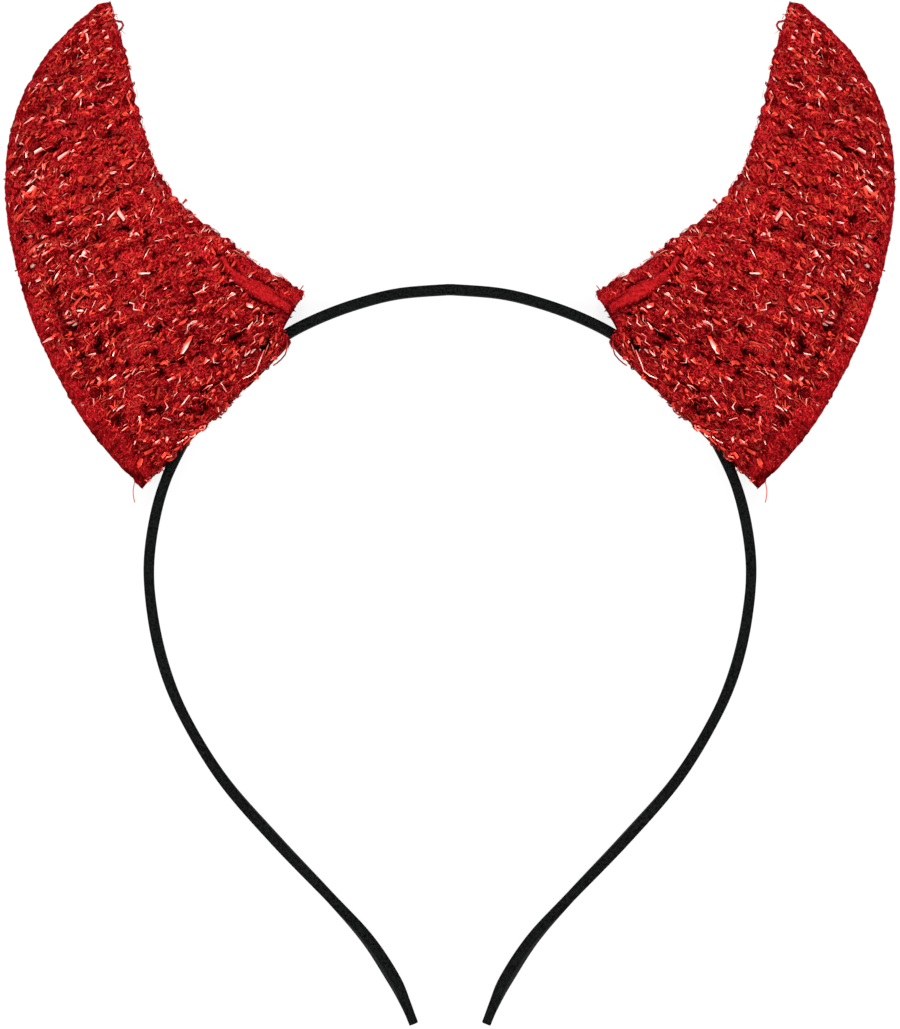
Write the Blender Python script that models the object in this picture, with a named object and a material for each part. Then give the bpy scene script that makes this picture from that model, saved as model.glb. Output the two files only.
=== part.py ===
"""Devil horns headband: a covered spring band that runs through the open bases of two cloth horns.

The headband lies on its back. The loop is in the XY plane, with the horns towards +Y, the band's open
ends towards -Y and the front of the horns up, towards +Z. The origin is on the floor, in the middle of
the whole outline. The tables hold millimetres and degrees for the +X half, and the -X half mirrors it.
"""

import math
from collections import namedtuple

import bmesh
import bpy

MM = 0.001

# Clearances between pieces
TOUCH_GAP = 0.3
SEAM_GAP = 0.3

# Edges sharper than these stay sharp in the shading
BAND_SMOOTH_ANGLE = 40
PANEL_SMOOTH_ANGLE = 60

# Cloth horns. Values that end in ROWS are distances along the table of horn rows.
CLOTH = 1.8
BACK_SHOULDER = 0.24
SHOULDER_POWER = 2.2
TIP_ROUNDING_ROWS = 1.1
SOLID_TIP_ROWS = 0.3
LARGEST_RIM_SHARE = 0.4
HORN_STEPS_ALONG = 26
HORN_STEPS_ACROSS = 14
TIP_CROWDING = 1.25

# The long fold inside each horn's outer edge
FOLD_DEPTH = 0.7
FOLD_INSET = 4.0
FOLD_WIDTH = 1.5
FOLD_FROM_ROW = 5
FOLD_FADE_IN_ROWS = 2.0
FOLD_FADE_OUT_ROWS = 1.5

# Band
BAND_DEPTH = 5.4
BAND_THICKNESS = 2.1
BAND_EDGE_RADIUS = 0.7
BAND_STEPS_PER_ROW = 3
BAND_CORNER_STEPS = 2
BAND_SLOPE_STEP = 0.01
BAND_TIP_Y = -102.15
BAND_LEVEL_FROM_Y = 4.0

# How high the band's underside lies inside the horns, on the cloth of their backs
BAND_LIFT = CLOTH + TOUCH_GAP
SEAM_HEIGHT = BAND_LIFT + BAND_DEPTH / 2
MOUTH_TOP = BAND_LIFT + BAND_DEPTH + TOUCH_GAP + CLOTH

BandRow = namedtuple("BandRow", "x y twist depth thickness")
BAND_ROWS = [
    BandRow(0.0, 45.0, 0.0, BAND_DEPTH, BAND_THICKNESS),
    BandRow(9.9, 44.2, 0.0, BAND_DEPTH, BAND_THICKNESS),
    BandRow(17.9, 42.3, 0.0, BAND_DEPTH, BAND_THICKNESS),
    BandRow(25.9, 39.4, 0.0, BAND_DEPTH, BAND_THICKNESS),
    BandRow(33.3, 35.6, 0.0, BAND_DEPTH, BAND_THICKNESS),
    BandRow(41.0, 29.8, 0.0, BAND_DEPTH, BAND_THICKNESS),
    BandRow(48.2, 22.2, 0.0, BAND_DEPTH, BAND_THICKNESS),
    BandRow(54.2, 12.8, 1.0, BAND_DEPTH, BAND_THICKNESS),
    BandRow(58.2, 2.8, 5.0, BAND_DEPTH, BAND_THICKNESS),
    BandRow(60.2, -9.2, 5.0, BAND_DEPTH, BAND_THICKNESS),
    BandRow(59.5, -20.2, 3.0, BAND_DEPTH, BAND_THICKNESS),
    BandRow(57.0, -31.2, 2.0, BAND_DEPTH, BAND_THICKNESS),
    BandRow(52.8, -41.2, 4.0, BAND_DEPTH, BAND_THICKNESS),
    BandRow(45.4, -53.2, 2.5, BAND_DEPTH, BAND_THICKNESS),
    BandRow(35.0, -65.2, 0.5, BAND_DEPTH, BAND_THICKNESS),
    BandRow(23.6, -77.2, 5.0, BAND_DEPTH, BAND_THICKNESS),
    BandRow(16.5, -85.2, 12.0, BAND_DEPTH, BAND_THICKNESS),
    BandRow(11.3, -93.2, 15.0, 5.0, BAND_THICKNESS),
    BandRow(8.9, -98.2, 6.0, 4.3, 2.0),
    BandRow(7.3, BAND_TIP_Y, 1.0, 3.6, 1.8),
]

HornRow = namedtuple("HornRow", "outer_x outer_y inner_x inner_y seam top shoulder mouth")
HORN_ROWS = [
    HornRow(70.7, 102.0, 68.1, 102.5, 2.0, 4.2, 0.50, 0.0),
    HornRow(75.9, 97.6, 66.5, 97.6, 2.3, 6.2, 0.50, 0.0),
    HornRow(82.1, 90.4, 64.7, 90.8, 2.8, 8.2, 0.48, 0.0),
    HornRow(86.9, 80.8, 62.5, 81.2, 3.3, 10.2, 0.45, 0.0),
    HornRow(88.9, 70.8, 59.9, 72.4, 3.8, 11.6, 0.42, 0.0),
    HornRow(88.9, 61.6, 55.9, 64.8, 4.2, 12.6, 0.40, 0.0),
    HornRow(87.5, 52.8, 50.3, 59.0, 4.5, 13.0, 0.38, 0.0),
    HornRow(85.2, 43.6, 44.1, 54.8, 4.7, 13.0, 0.36, 0.0),
    HornRow(81.8, 34.4, 38.2, 49.6, SEAM_HEIGHT, 12.6, 0.32, 0.0),
    HornRow(77.2, 25.2, 29.9, 44.8, SEAM_HEIGHT, 11.8, 0.28, 0.0),
    HornRow(70.9, 15.2, 31.6, 39.6, SEAM_HEIGHT, 10.6, 0.22, 1.0),
    HornRow(61.9, 5.4, 31.9, 34.4, SEAM_HEIGHT, MOUTH_TOP, 0.15, 1.0),
]


def clear_scene():
    """Remove what the file starts with."""
    for found in list(bpy.data.objects):
        bpy.data.objects.remove(found, do_unlink=True)


def make_material(name, colour, roughness, metallic):
    """A plain surface with one colour and gloss."""
    material = bpy.data.materials.new(name)
    material.use_nodes = True
    shader = material.node_tree.nodes["Principled BSDF"]
    shader.inputs["Base Color"].default_value = (*colour, 1.0)
    shader.inputs["Roughness"].default_value = roughness
    shader.inputs["Metallic"].default_value = metallic
    material.diffuse_color = (*colour, 1.0)
    return material


def clamp(value, low, high):
    """The value, kept between two limits."""
    return min(max(value, low), high)


def row_at(rows, place):
    """The row at a fractional place in a table, on a smooth curve through its rows."""
    last = len(rows) - 1
    start = clamp(int(place), 0, last - 1)
    t = place - start
    nearby = [rows[min(max(start + step, 0), last)] for step in (-1, 0, 1, 2)]
    values = []
    for before, here, ahead, beyond in zip(*nearby):
        slope_here = (ahead - before) / 2
        slope_ahead = (beyond - here) / 2
        values.append(
            here * (2 * t**3 - 3 * t**2 + 1)
            + slope_here * (t**3 - 2 * t**2 + t)
            + ahead * (3 * t**2 - 2 * t**3)
            + slope_ahead * (t**3 - t**2)
        )
    return type(rows[0])(*values)


def eased(value):
    """A step from 0 to 1 that starts and ends level."""
    t = clamp(value, 0.0, 1.0)
    return t * t * (3 - 2 * t)


def shoulder_rise(distance, reach):
    """A rounded climb from 0 at an edge to 1 at the reach."""
    if distance >= reach:
        return 1.0
    return (1 - (1 - distance / reach) ** SHOULDER_POWER) ** (1 / SHOULDER_POWER)


def add_object(name, rings, material, smooth_angle):
    """Skin a list of rings of points into one closed solid, with a cap on the first and the last ring."""
    mesh = bpy.data.meshes.new(name)
    shape = bmesh.new()
    corners = [[shape.verts.new([c * MM for c in point]) for point in ring] for ring in rings]
    count = len(rings[0])
    for here, ahead in zip(corners, corners[1:]):
        for k in range(count):
            after = (k + 1) % count
            shape.faces.new((here[k], here[after], ahead[after], ahead[k]))
    shape.faces.new(list(reversed(corners[0])))
    shape.faces.new(corners[-1])
    if shape.calc_volume(signed=True) < 0:
        bmesh.ops.reverse_faces(shape, faces=shape.faces)
    shape.to_mesh(mesh)
    shape.free()
    mesh.materials.append(material)
    mesh.shade_smooth()
    mesh.set_sharp_from_angle(angle=math.radians(smooth_angle))
    made = bpy.data.objects.new(name, mesh)
    bpy.context.scene.collection.objects.link(made)
    return made


def band_section(thickness, depth):
    """The band's rounded rectangle, as pairs of distances across its thickness and its depth."""
    radius = BAND_EDGE_RADIUS
    points = []
    for quarter, (across, along) in enumerate(((1, 1), (-1, 1), (-1, -1), (1, -1))):
        for step in range(BAND_CORNER_STEPS + 1):
            angle = math.radians(90 * (quarter + step / BAND_CORNER_STEPS))
            points.append(
                (
                    across * (thickness / 2 - radius) + radius * math.cos(angle),
                    along * (depth / 2 - radius) + radius * math.sin(angle),
                )
            )
    return points


def band_ring(place, side):
    """One ring of the band's surface at a place along the half that lies on the given side of X."""
    row = row_at(BAND_ROWS, place)
    before = row_at(BAND_ROWS, place - BAND_SLOPE_STEP)
    ahead = row_at(BAND_ROWS, place + BAND_SLOPE_STEP)
    length = math.hypot(ahead.x - before.x, ahead.y - before.y)
    out_x = (before.y - ahead.y) / length
    out_y = (ahead.x - before.x) / length
    twist = math.radians(row.twist)
    half_height = (
        BAND_EDGE_RADIUS
        + (row.depth / 2 - BAND_EDGE_RADIUS) * math.cos(twist)
        + (row.thickness / 2 - BAND_EDGE_RADIUS) * math.sin(twist)
    )
    lift = BAND_LIFT * eased((row.y - BAND_TIP_Y) / (BAND_LEVEL_FROM_Y - BAND_TIP_Y))
    ring = []
    for across, along in band_section(row.thickness, row.depth):
        outwards = across * math.cos(twist) - along * math.sin(twist)
        up = across * math.sin(twist) + along * math.cos(twist)
        ring.append(
            (
                side * (row.x + outwards * out_x),
                row.y + outwards * out_y,
                lift + half_height + up,
            )
        )
    return ring


def make_band(material):
    """The spring band from one tip to the other, with a flat facet at the middle of its crown."""
    steps = (len(BAND_ROWS) - 1) * BAND_STEPS_PER_ROW
    places = [k / BAND_STEPS_PER_ROW for k in range(1, steps + 1)]
    rings = [band_ring(place, -1) for place in reversed(places)]
    rings += [band_ring(place, 1) for place in places]
    return add_object("band", rings, material, BAND_SMOOTH_ANGLE)


def bulge_share(row, place, across, shoulder):
    """How much of its full bulge a panel has at a place along the horn and a share of the way across."""
    mouth = clamp(row.mouth, 0.0, 1.0)
    outer_rise = shoulder_rise(across, shoulder)
    inner_rise = shoulder_rise(1 - across, shoulder)
    open_rise = inner_rise + (1 - inner_rise) * mouth
    return outer_rise * open_rise * shoulder_rise(place, TIP_ROUNDING_ROWS)


def fold_depth(place, distance):
    """The depth of the long fold at a place along the horn and a distance in from its outer edge."""
    last = len(HORN_ROWS) - 1
    off = (distance - FOLD_INSET) / FOLD_WIDTH
    fade_in = eased((place - FOLD_FROM_ROW) / FOLD_FADE_IN_ROWS)
    fade_out = eased((last - place) / FOLD_FADE_OUT_ROWS)
    return FOLD_DEPTH * math.exp(-off * off) * fade_in * fade_out


def panel_point(place, across, facing, inset):
    """A point of a horn panel. Facing is 1 for the front and -1 for the back. Inset is 0 on the outside
    and the cloth's thickness on the inside."""
    last = len(HORN_ROWS) - 1
    start = SOLID_TIP_ROWS * inset / CLOTH
    place = start + place * (last - start) / last
    row = row_at(HORN_ROWS, place)
    width = math.hypot(row.inner_x - row.outer_x, row.inner_y - row.outer_y)
    rim = min(inset / width, LARGEST_RIM_SHARE)
    inner_rim = rim * (1 - clamp(row.mouth, 0.0, 1.0))
    spot = rim + across * (1 - rim - inner_rim)
    if facing > 0:
        bulge = max(row.top - row.seam - SEAM_GAP / 2 - inset, 0.0)
        bulge *= bulge_share(row, place - start, across, row.shoulder)
        bulge = max(bulge - fold_depth(place, across * width), 0.0)
    else:
        bulge = max(row.seam - SEAM_GAP / 2 - inset, 0.0)
        bulge *= bulge_share(row, place - start, across, min(row.shoulder, BACK_SHOULDER))
    return (
        row.outer_x + (row.inner_x - row.outer_x) * spot,
        row.outer_y + (row.inner_y - row.outer_y) * spot,
        row.seam + facing * (SEAM_GAP / 2 + bulge),
    )


def make_horn_panel(name, side, facing, material):
    """One cloth wall of a horn, from its tip to the open mouth at its base."""
    last = len(HORN_ROWS) - 1
    rings = []
    for step in range(HORN_STEPS_ALONG + 1):
        place = last * (step / HORN_STEPS_ALONG) ** TIP_CROWDING
        steps = range(HORN_STEPS_ACROSS + 1)
        across = [0.5 - 0.5 * math.cos(math.pi * k / HORN_STEPS_ACROSS) for k in steps]
        outside = [panel_point(place, share, facing, 0.0) for share in across]
        inside = [panel_point(place, share, facing, CLOTH) for share in reversed(across)]
        rings.append([(side * x, y, z) for x, y, z in outside + inside])
    return add_object(name, rings, material, PANEL_SMOOTH_ANGLE)


def main():
    """Build the band and both horns."""
    clear_scene()
    satin = make_material("black_satin", (0.010, 0.010, 0.011), 0.55, 0.0)
    cloth = make_material("red_tinsel_cloth", (0.34, 0.008, 0.010), 0.45, 0.0)
    make_band(satin)
    for side_name, side in (("left", -1), ("right", 1)):
        make_horn_panel(f"horn_{side_name}_front", side, 1, cloth)
        make_horn_panel(f"horn_{side_name}_back", side, -1, cloth)


main()
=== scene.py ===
import math
from collections import namedtuple

import bpy
import numpy as np
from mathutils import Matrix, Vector


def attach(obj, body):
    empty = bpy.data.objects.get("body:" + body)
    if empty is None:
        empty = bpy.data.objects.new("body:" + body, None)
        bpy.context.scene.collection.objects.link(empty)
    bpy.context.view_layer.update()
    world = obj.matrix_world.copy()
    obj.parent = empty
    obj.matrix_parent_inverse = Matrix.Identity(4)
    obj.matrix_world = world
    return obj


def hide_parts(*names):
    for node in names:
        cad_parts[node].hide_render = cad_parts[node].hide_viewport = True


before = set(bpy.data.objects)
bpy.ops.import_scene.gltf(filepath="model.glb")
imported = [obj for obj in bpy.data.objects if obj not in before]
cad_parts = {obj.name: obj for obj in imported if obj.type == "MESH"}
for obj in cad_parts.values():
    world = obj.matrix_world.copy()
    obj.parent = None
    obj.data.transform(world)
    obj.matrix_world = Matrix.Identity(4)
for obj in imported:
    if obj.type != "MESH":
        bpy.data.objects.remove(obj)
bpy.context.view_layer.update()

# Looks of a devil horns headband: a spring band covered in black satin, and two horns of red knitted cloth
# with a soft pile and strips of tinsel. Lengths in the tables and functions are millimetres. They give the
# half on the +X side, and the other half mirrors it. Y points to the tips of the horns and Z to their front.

MM = 0.001

# Cloth horns, as the frame has them
CLOTH = 1.8
BACK_SHOULDER = 0.24
SHOULDER_POWER = 2.2
TIP_ROUNDING_ROWS = 1.1
SOLID_TIP_ROWS = 0.3
LARGEST_RIM_SHARE = 0.4
SEAM_GAP = 0.1
TIP_CROWDING = 1.25

# The long fold inside each horn's outer edge
FOLD_DEPTH = 0.7
FOLD_INSET = 4.0
FOLD_WIDTH = 1.5
FOLD_FROM_ROW = 5
FOLD_FADE_IN_ROWS = 2.0
FOLD_FADE_OUT_ROWS = 1.5

# Band, as the frame has it
BAND_DEPTH = 5.4
BAND_THICKNESS = 2.1
BAND_EDGE_RADIUS = 0.7
BAND_TIP_Y = -102.15
BAND_LEVEL_FROM_Y = 4.0
BAND_LIFT = 2.1
SEAM_HEIGHT = 4.8
MOUTH_TOP = 9.6

BandRow = namedtuple("BandRow", "x y twist depth thickness", defaults=(0.0, BAND_DEPTH, BAND_THICKNESS))
BAND_ROWS = [
    BandRow(0.0, 45.0),
    BandRow(9.9, 44.2),
    BandRow(17.9, 42.3),
    BandRow(25.9, 39.4),
    BandRow(33.3, 35.6),
    BandRow(41.0, 29.8),
    BandRow(48.2, 22.2),
    BandRow(54.2, 12.8, 1.0),
    BandRow(58.2, 2.8, 5.0),
    BandRow(60.2, -9.2, 5.0),
    BandRow(59.5, -20.2, 3.0),
    BandRow(57.0, -31.2, 2.0),
    BandRow(52.8, -41.2, 4.0),
    BandRow(45.4, -53.2, 2.5),
    BandRow(35.0, -65.2, 0.5),
    BandRow(23.6, -77.2, 5.0),
    BandRow(16.5, -85.2, 12.0),
    BandRow(11.3, -93.2, 15.0, 5.0),
    BandRow(8.9, -98.2, 6.0, 4.3, 2.0),
    BandRow(7.3, BAND_TIP_Y, 1.0, 3.6, 1.8),
]

HornRow = namedtuple(
    "HornRow", "outer_x outer_y inner_x inner_y seam top shoulder mouth", defaults=(0.0,)
)
HORN_ROWS = [
    HornRow(70.7, 102.0, 68.1, 102.5, 2.0, 4.2, 0.50),
    HornRow(75.9, 97.6, 66.5, 97.6, 2.3, 6.2, 0.50),
    HornRow(82.1, 90.4, 64.7, 90.8, 2.8, 8.2, 0.48),
    HornRow(86.9, 80.8, 62.5, 81.2, 3.3, 10.2, 0.45),
    HornRow(88.9, 70.8, 59.9, 72.4, 3.8, 11.6, 0.42),
    HornRow(88.9, 61.6, 55.9, 64.8, 4.2, 12.6, 0.40),
    HornRow(87.5, 52.8, 50.3, 59.0, 4.5, 13.0, 0.38),
    HornRow(85.2, 43.6, 44.1, 54.8, 4.7, 13.0, 0.36),
    HornRow(81.8, 34.4, 38.2, 49.6, SEAM_HEIGHT, 12.6, 0.32),
    HornRow(77.2, 25.2, 29.9, 44.8, SEAM_HEIGHT, 11.8, 0.28),
    HornRow(70.9, 15.2, 31.6, 39.6, SEAM_HEIGHT, 10.6, 0.22, 1.0),
    HornRow(61.9, 5.4, 31.9, 34.4, SEAM_HEIGHT, MOUTH_TOP, 0.15, 1.0),
]
LAST_HORN_ROW = len(HORN_ROWS) - 1

# Knitted rows of the cloth, and how much painted shade their grooves get
ROW_PITCH = 3.6
ROW_SLOPE = math.radians(20)
ROW_SLOPE_AT_TIP = math.radians(29)
GROOVE_WIDTH = 0.55
GROOVE_DEPTH = 0.45
GROOVE_PAINTED_SHADE = 0.36

# The gaps between its threads, which lie along the rows
GAP_SIZE = 0.66
GAP_STRETCH = 2.2
GAP_FROM = 0.72
GAP_SOFTNESS = 0.32
GAP_DEPTH = 0.6

# The lumps of its threads: how high they are, their size and their seed
Lumps = namedtuple("Lumps", "reach size seed")
CLOTH_LUMPS = [Lumps(0.22, 1.5, 4), Lumps(0.16, 0.7, 5)]
BASE_LUMPS = [Lumps(0.50, 1.7, 7), Lumps(0.28, 0.7, 8)]

# How light it is, out of 1, and where that changes: painted shade in the fold and a painted highlight
# beside it, lighter on the border and darker near the base
CLOTH_TONE = 0.79
PAINTED_HIGHLIGHT_INSET = FOLD_INSET + 0.6
PAINTED_FOLD_SHADE_INSET = FOLD_INSET + 2.3
BORDER_SHARE_OF_PILE = 0.72
DARK_ROW_FROM_BASE = 3.8
BASE_FROM_ROW = 10.2

# What the pile and the foil keep between the back cloth and the surface that the horns rest on
PILE_UNDER_BACK = 0.28
LOWEST_FIBRE_POINTS = np.array([0.05, 0.08, 0.11, 0.0])
LOWEST_FOIL_POINTS = np.array([0.03, 0.03, 0.0])

# Which way the pile and the tinsel lie, from +X, and how much of the tinsel is broad or slim
PILE_HEADING = math.radians(125)
TINSEL_HEADING = math.radians(136)
BROAD_SHARE = 0.08
SLIM_SHARE = 0.58

# The smooth border along the outer edge, and the smooth turned-in strip near the inner corner
BORDER_WIDTH = 1.7
BORDER_WIDTH_AT_BASE = 4.4
BORDER_BLEND = 1.2
StripPoint = namedtuple("StripPoint", "x y half_width", defaults=(0.2,))
TURNED_STRIP = [
    StripPoint(45.3, 51.1, 0.35),
    StripPoint(43.7, 48.7, 0.5),
    StripPoint(42.0, 47.0, 0.7),
    StripPoint(39.6, 45.4, 1.1),
    StripPoint(36.9, 43.9, 1.2),
    StripPoint(34.5, 42.5, 1.0),
    StripPoint(32.3, 41.4, 0.9),
]
RIDGE_BY_STRIP = [
    StripPoint(43.4, 52.8),
    StripPoint(41.5, 48.7),
    StripPoint(39.8, 47.0),
    StripPoint(36.5, 45.4),
    StripPoint(33.1, 43.4),
]
SMOOTH_CORNER_X = 31.2
SMOOTH_CORNER_Y = 43.0
SMOOTH_CORNER_SIZE = 2.6

# How much further the soft tip reaches than the frame's
TIP_STRETCH = 0.4

# The uneven base edge: how far it stands out from a straight line, from the outer corner across to the
# inner one, and the notch in the inner edge where the band comes out
BasePoint = namedtuple("BasePoint", "across outward")
BASE_EDGE = [
    BasePoint(0.0, 0.0),
    BasePoint(0.05, 0.0),
    BasePoint(0.17, -0.5),
    BasePoint(0.28, 0.3),
    BasePoint(0.36, -0.4),
    BasePoint(0.48, 0.65),
    BasePoint(0.60, 0.1),
    BasePoint(0.75, 0.6),
    BasePoint(0.89, 0.6),
    BasePoint(1.0, 0.0),
]
LAST_ROW_REACH_OUTER = 13.3
LAST_ROW_REACH_INNER = 3.5
NotchPoint = namedtuple("NotchPoint", "place depth")
NOTCH = [
    NotchPoint(9.2, 0.0),
    NotchPoint(10.0, 0.6),
    NotchPoint(10.42, 1.7),
    NotchPoint(10.60, 1.1),
    NotchPoint(10.82, 0.2),
    NotchPoint(11.0, 0.0),
]

# Loose strands and tufts along the edges, with how far each point lies above the cloth beside it
StrandPoint = namedtuple("StrandPoint", "x y lift")
# A strand's shade is the foil's: past about half it turns to the foil's pale painted highlight
Strand = namedtuple("Strand", "name width shade points")
EDGE_STRANDS = [
    Strand(
        "band_loop", 0.3, 0.04, ((32.3, 34.4, 0.2), (32.6, 32.2, 0.3), (33.9, 30.5, 0.3), (35.2, 29.6, 0.2))
    ),
    Strand(
        "bright", 0.22, 0.66, ((36.9, 32.7, 0.8), (37.9, 30.3, 0.8), (38.8, 28.2, 0.7), (41.2, 27.0, 0.6))
    ),
    Strand("hanging_loop", 0.36, 0.10, ((44.9, 22.1, 0.3), (44.4, 20.8, 0.2), (45.7, 19.7, 0.0))),
    Strand("tuft_by_loop", 0.6, 0.2, ((44.5, 22.2, 0.2), (44.0, 21.5, 0.2))),
    Strand("ring", 0.28, 0.5, ((49.9, 17.1, 0.2), (49.3, 17.7, 0.2), (48.7, 17.1, 0.2), (49.3, 16.5, 0.2))),
    Strand("strand_by_band", 0.24, 0.7, ((54.2, 14.2, 0.3), (53.2, 14.7, 0.4), (52.2, 15.5, 0.3))),
    Strand("second_by_band", 0.24, 0.45, ((53.0, 13.9, 0.2), (51.7, 15.2, 0.3))),
    Strand(
        "tip_loop", 0.5, 0.12, ((68.4, 98.9, 0.6), (66.1, 98.9, 0.6), (65.5, 97.9, 0.5), (66.5, 96.9, 0.3))
    ),
    Strand("red_curl", 0.7, 0.35, ((41.6, 51.6, 0.2), (40.6, 52.0, 0.3), (40.3, 52.7, 0.2))),
    Strand("tuft_stem", 0.42, 0.28, ((53.5, 62.2, 0.2), (52.9, 62.9, 0.2))),
    Strand("tuft_ball", 0.6, 0.3, ((53.0, 62.7, 0.2), (52.7, 63.1, 0.2))),
    Strand("corner_spike", 0.22, 0.1, ((30.3, 44.5, 0.1), (29.3, 45.8, 0.2))),
    Strand("dark_spike", 0.5, 0.1, ((46.7, 55.6, 0.1), (46.2, 56.1, 0.1))),
    Strand("edge_tuft", 0.5, 0.25, ((44.5, 53.7, 0.1), (44.0, 54.3, 0.1))),
    Strand("small_spike", 0.2, 0.3, ((38.4, 49.5, 0.1), (38.0, 50.2, 0.1))),
    Strand("outer_tuft", 0.3, 0.2, ((88.7, 66.9, 0.0), (89.4, 67.2, 0.0))),
    Strand("lower_tuft", 0.3, 0.15, ((86.4, 48.9, 0.0), (87.1, 48.7, 0.0))),
    Strand("thread", 0.22, 0.42, ((63.0, 6.6, 0.2), (63.4, 5.0, -0.4), (63.4, 3.6, -1.2), (63.2, 2.4, -1.9))),
]
BASE_LOOPS = 40
# The loops' shades, mostly dark: painted shade along the base edge
BASE_LOOP_SHADES = [0.0, 0.05, 0.1, 0.15, 0.25, 0.6]

# How many fibres, strips of tinsel and zigzag threads each wall of a horn has
Dressing = namedtuple("Dressing", "facing word fibres strips threads")
DRESSINGS = [Dressing(1, "front", 47500, 2600, 60), Dressing(-1, "back", 14000, 1000, 25)]

# The flat map for colours: its margin, and the size of one of its dots
MAP_MARGIN = 0.03
MAP_DOT = 1 / 512


# Small sums that the shapes share


def eased(values):
    """A step from 0 to 1 that starts and ends level."""
    t = np.clip(values, 0.0, 1.0)
    return t * t * (3 - 2 * t)


def rows_at(rows, places):
    """The columns of a table at fractional places, on a smooth curve through its rows."""
    table = np.array(rows, float)
    last = len(table) - 1
    start = np.clip(np.floor(places).astype(int), 0, last - 1)
    t = (places - start)[..., None]
    before, here, ahead, beyond = [table[np.clip(start + step, 0, last)] for step in (-1, 0, 1, 2)]
    slope_here = (ahead - before) / 2
    slope_ahead = (beyond - here) / 2
    values = here * (2 * t**3 - 3 * t**2 + 1) + slope_here * (t**3 - 2 * t**2 + t)
    values += ahead * (3 * t**2 - 2 * t**3) + slope_ahead * (t**3 - t**2)
    return type(rows[0])(*np.moveaxis(values, -1, 0))


def hump(values, middle, width):
    """A smooth hump that is 1 in its middle."""
    return np.exp(-(((values - middle) / width) ** 2))


def soft_noise(x, y, size, seed):
    """Smooth noise from -1 to 1 over a plane, with lumps of about the given size."""
    period = 512
    lattice = np.random.default_rng(seed).uniform(-1, 1, (period, period))
    u, v = x / size + 131.0, y / size + 157.0
    column, line = np.floor(u).astype(int), np.floor(v).astype(int)
    right, up = eased(u - column), eased(v - line)
    corners = [lattice[(line + i) % period, (column + j) % period] for i in (0, 1) for j in (0, 1)]
    low = corners[0] * (1 - right) + corners[1] * right
    high = corners[2] * (1 - right) + corners[3] * right
    return 1.4 * (low * (1 - up) + high * up)


def lumpy(x, y, lumps, seed=0):
    """The sum of noise of several sizes."""
    return sum(lump.reach * soft_noise(x, y, lump.size, seed + lump.seed) for lump in lumps)


def unit(vectors):
    """The vectors at length 1."""
    return vectors / np.maximum(np.linalg.norm(vectors, axis=-1, keepdims=True), 1e-9)


def distance_to_line(x, y, points):
    """The distance from places in the plane to a line of points, less the line's half width there."""
    nearest = np.full(np.shape(x), 1e9)
    for a, b in zip(points, points[1:]):
        step_x, step_y = b.x - a.x, b.y - a.y
        share = ((x - a.x) * step_x + (y - a.y) * step_y) / (step_x**2 + step_y**2)
        share = np.clip(share, 0, 1)
        away = np.hypot(x - a.x - share * step_x, y - a.y - share * step_y)
        nearest = np.minimum(nearest, away - a.half_width - share * (b.half_width - a.half_width))
    return nearest


# Meshes


def signed_volume(points, faces):
    """The volume inside closed faces, negative where they point inwards."""
    total = 0.0
    for group in faces:
        first = points[group[:, 0]]
        for k in range(1, group.shape[1] - 1):
            total += np.sum(first * np.cross(points[group[:, k]], points[group[:, k + 1]]))
    return total / 6


def make_piece(name, side, points, faces, material, map_spots, values=None, smooth=True):
    """A piece on one side of the headband, from points in millimetres and groups of faces, each an array with
    a row for each face. map_spots holds the place of each face's corners on the flat map for colours, and
    values the numbers that the materials read."""
    points = points * [side, 1, 1]
    if signed_volume(points, faces) < 0:
        faces = [group[:, ::-1] for group in faces]
        map_spots = [group[:, ::-1] for group in map_spots]
    corners = np.concatenate([group.ravel() for group in faces])
    sizes = np.concatenate([np.full(len(group), group.shape[1]) for group in faces])
    mesh = bpy.data.meshes.new(name)
    mesh.vertices.add(len(points))
    mesh.vertices.foreach_set("co", (points * MM).ravel())
    mesh.loops.add(len(corners))
    mesh.loops.foreach_set("vertex_index", corners)
    mesh.polygons.add(len(sizes))
    mesh.polygons.foreach_set("loop_start", np.cumsum(sizes) - sizes)
    mesh.update(calc_edges=True)
    layer = mesh.uv_layers.new(name="OFBake")
    layer.uv.foreach_set("vector", np.concatenate([group.reshape(-1) for group in map_spots]))
    for value_name, numbers in (values or {}).items():
        attribute = mesh.attributes.new(value_name, "FLOAT", "POINT")
        attribute.data.foreach_set("value", numbers.astype(np.float32).ravel())
    if smooth:
        mesh.shade_smooth()
    else:
        mesh.shade_flat()
    mesh.materials.append(material)
    piece = bpy.data.objects.new(name, mesh)
    bpy.context.scene.collection.objects.link(piece)
    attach(piece, "root")
    return piece


def skin_rings(rings, around, strips=1):
    """Faces that skin closed rings of points and cap both ends, and where each corner lies on a flat map,
    which holds the length in strips. around is how far round the map each point of a ring lies."""
    count, width = rings.shape[:2]
    start = np.arange(count - 1)[:, None] * width
    k = np.arange(width)[None, :]
    after = (k + 1) % width
    quads = np.stack([start + k, start + after, start + width + after, start + width + k], -1)
    per_strip = math.ceil((count - 1) / strips)
    strip = np.arange(count - 1) // per_strip
    low = (np.arange(count - 1) - strip * per_strip) / per_strip
    high = low + 1 / per_strip
    edges = np.append(around, 1.0)
    shape = (count - 1, width)
    u = np.stack([np.broadcast_to(x[:, None], shape) for x in (low, low, high, high)], -1)
    v = np.stack([np.broadcast_to(edges[x], shape) for x in (k[0], k[0] + 1, k[0] + 1, k[0])], -1)
    v = (v * 0.98 + 0.01 + strip[:, None, None]) / strips
    caps = [np.arange(width)[None, ::-1], np.arange(width)[None, :] + (count - 1) * width]
    turn = np.arange(width) / width * 2 * math.pi
    spot = np.stack([0.003 + 0.002 * np.cos(turn), 0.003 + 0.002 * np.sin(turn)], -1)[None]
    return [quads.reshape(-1, 4), *caps], [np.stack([u, v], -1).reshape(-1, 4, 2), spot[:, ::-1], spot]


# Cloth panels of the horns


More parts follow.
